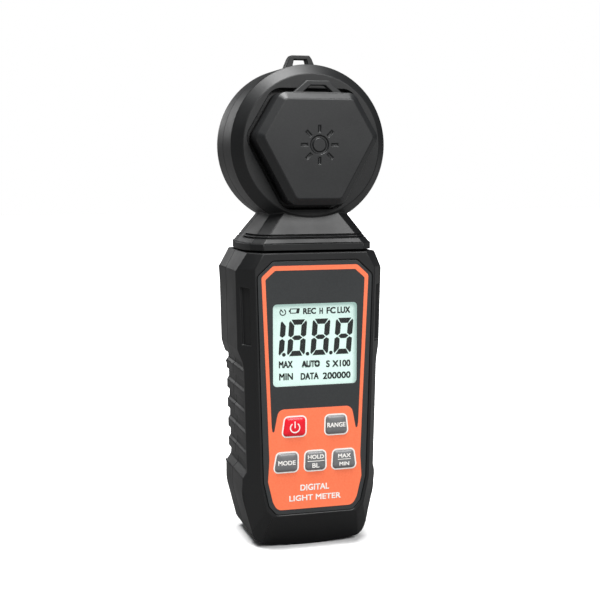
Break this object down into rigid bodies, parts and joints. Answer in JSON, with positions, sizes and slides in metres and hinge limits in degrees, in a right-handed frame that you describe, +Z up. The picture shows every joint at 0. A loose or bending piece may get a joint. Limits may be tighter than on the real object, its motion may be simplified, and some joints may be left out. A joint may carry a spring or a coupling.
{
  "type": "handheld light meter",
  "caption": "Handheld digital light meter with a display, push keys, a ribbed case and a round swivelling sensor head under a hexagonal cap.",
  "frame": {"origin": "middle of the bounding box in plan, at the lowest point of the rounded base", "axes": "+Z up the length of the meter from base to head; the display and the sensor face -Y; +X to the reader's right"},
  "size_m": [0.062, 0.0468, 0.1946],
  "materials": {
    "black_abs": "fine spark-eroded texture",
    "cap_abs": "fine spark-eroded texture",
    "printed_film": "satin printed film, dark grey with an orange border and panel",
    "clear_window": "clear hard-coated acrylic",
    "display_glass": "pale green lit display",
    "light_guide": "clear acrylic with a white print",
    "frame_plastic": "moulded",
    "zebra_rubber": "striped silicone rubber",
    "circuit_board": "green solder mask",
    "chip_epoxy": "moulded epoxy",
    "bright_can": "plated can",
    "capacitor_sleeve": "shrink sleeve",
    "connector_nylon": "moulded nylon",
    "cable_jacket": "soft vinyl",
    "screw_steel": "black zinc plated",
    "cell_sleeve": "plain shrink sleeve",
    "plated_spring": "nickel plated",
    "washer_nylon": "plain nylon",
    "pivot_acetal": "acetal",
    "spring_steel": "oiled spring steel",
    "filter_glass": "blue-green filter glass",
    "opal_dome": "opal acrylic",
    "red_key": "silicone, satin",
    "grey_key": "silicone, satin",
    "switch_body": "moulded"
  },
  "bodies": {
    "case": {"front_case": "black_abs", "rear_case": "black_abs", "case_screws": "screw_steel", "face_overlay": "printed_film", "lcd_window": "clear_window", "lcd_glass": "display_glass", "backlight_guide": "light_guide", "lcd_frame": "frame_plastic", "contact_strips": "zebra_rubber", "main_board": "circuit_board", "controller_chip": "chip_epoxy", "timing_crystal": "bright_can", "board_capacitors": "capacitor_sleeve", "board_connector": "connector_nylon", "board_screws": "screw_steel", "power_switch": "switch_body", "range_switch": "switch_body", "mode_switch": "switch_body", "hold_switch": "switch_body", "max_min_switch": "switch_body", "lower_sensor_cable": "cable_jacket", "battery_cell_left": "cell_sleeve", "battery_cell_middle": "cell_sleeve", "battery_cell_right": "cell_sleeve", "battery_spring_left": "plated_spring", "battery_spring_middle": "plated_spring", "battery_spring_right": "plated_spring", "negative_contacts": "plated_spring", "positive_contacts": "plated_spring", "swivel_washer": "washer_nylon"},
    "head": {"head_front_shell": "black_abs", "head_rear_shell": "black_abs", "head_screws": "screw_steel", "diffuser_dome": "opal_dome", "sensor_holder": "frame_plastic", "colour_filter": "filter_glass", "photodiode": "bright_can", "sensor_board": "circuit_board", "amplifier_chip": "chip_epoxy", "sensor_connector": "connector_nylon", "sensor_screws": "screw_steel", "upper_sensor_cable": "cable_jacket", "swivel_tube": "pivot_acetal", "retaining_clip": "spring_steel"},
    "cap": {"sensor_cap": "cap_abs"},
    "door": {"battery_door": "black_abs", "door_screw": "screw_steel"},
    "power_key": {"power_key": "red_key"},
    "range_key": {"range_key": "grey_key"},
    "mode_key": {"mode_key": "grey_key"},
    "hold_key": {"hold_key": "grey_key"},
    "max_min_key": {"max_min_key": "grey_key"}
  },
  "joints": [
    {"name": "head_swivel", "type": "hinge", "parent": "case", "child": "head", "pos_m": [0, 0.0026, 0.1185], "axis": [0, 0, 1], "range_deg": [-90, 180]},
    {"name": "cap_pull", "type": "slide", "parent": "head", "child": "cap", "axis": [0, -1, 0], "range_m": [0, 0.03]},
    {"name": "door_lift", "type": "slide", "parent": "case", "child": "door", "axis": [0, 1, 0], "range_m": [0, 0.03]},
    {"name": "power_press", "type": "slide", "parent": "case", "child": "power_key", "axis": [0, 1, 0], "range_m": [0, 0.0008], "stiffness_N_per_m": 900, "springref_m": -0.0005},
    {"name": "range_press", "type": "slide", "parent": "case", "child": "range_key", "axis": [0, 1, 0], "range_m": [0, 0.0008], "stiffness_N_per_m": 900, "springref_m": -0.0005},
    {"name": "mode_press", "type": "slide", "parent": "case", "child": "mode_key", "axis": [0, 1, 0], "range_m": [0, 0.0008], "stiffness_N_per_m": 900, "springref_m": -0.0005},
    {"name": "hold_press", "type": "slide", "parent": "case", "child": "hold_key", "axis": [0, 1, 0], "range_m": [0, 0.0008], "stiffness_N_per_m": 900, "springref_m": -0.0005},
    {"name": "max_min_press", "type": "slide", "parent": "case", "child": "max_min_key", "axis": [0, 1, 0], "range_m": [0, 0.0008], "stiffness_N_per_m": 900, "springref_m": -0.0005}
  ]
}
